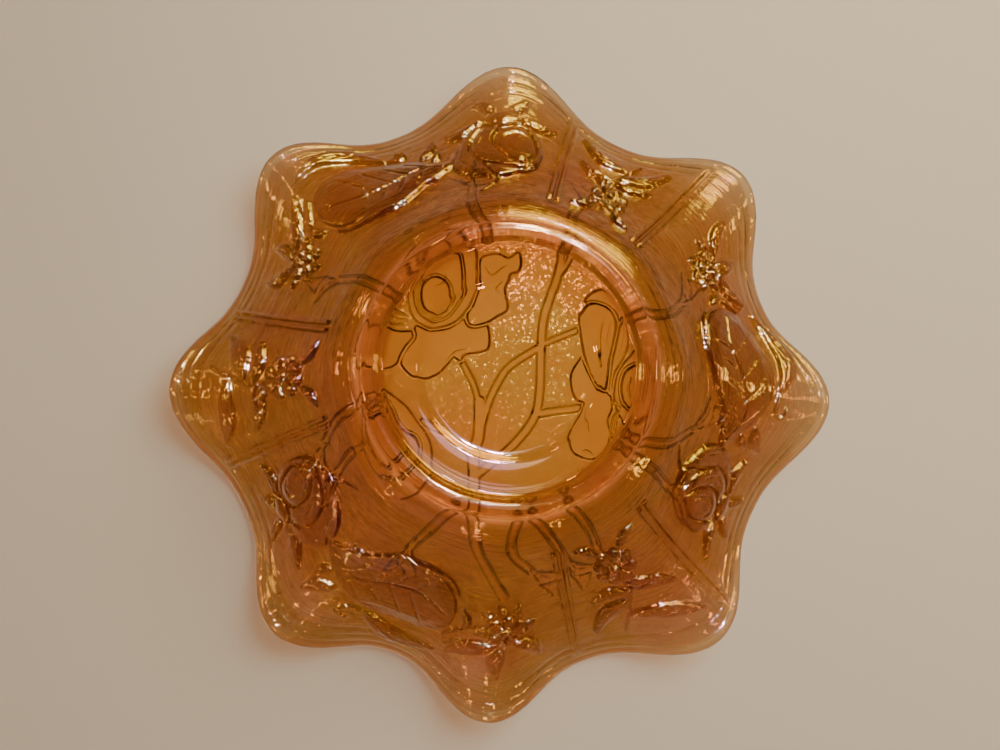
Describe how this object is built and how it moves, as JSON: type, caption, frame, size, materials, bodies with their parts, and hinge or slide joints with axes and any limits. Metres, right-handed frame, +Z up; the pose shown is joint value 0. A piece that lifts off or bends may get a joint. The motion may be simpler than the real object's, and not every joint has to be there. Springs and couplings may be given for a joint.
{
  "type": "bowl",
  "caption": "Pressed amber glass bowl with a ruffled, pointed rim and relief ornament, standing on a round collar foot.",
  "frame": {"origin": "centre of the foot ring's resting plane, which is the lowest plane of the bowl", "axes": "+Z up along the bowl's axis, from the foot towards the open rim; +X out through one of the rim's points, to within 3 degrees"},
  "size_m": [0.2287, 0.2288, 0.0628],
  "materials": {
    "foot_glass": "glossy iridescent",
    "bowl_glass": "glossy iridescent"
  },
  "bodies": {
    "root": {"foot_ring": "foot_glass", "bowl_body": "bowl_glass"}
  },
  "joints": []
}
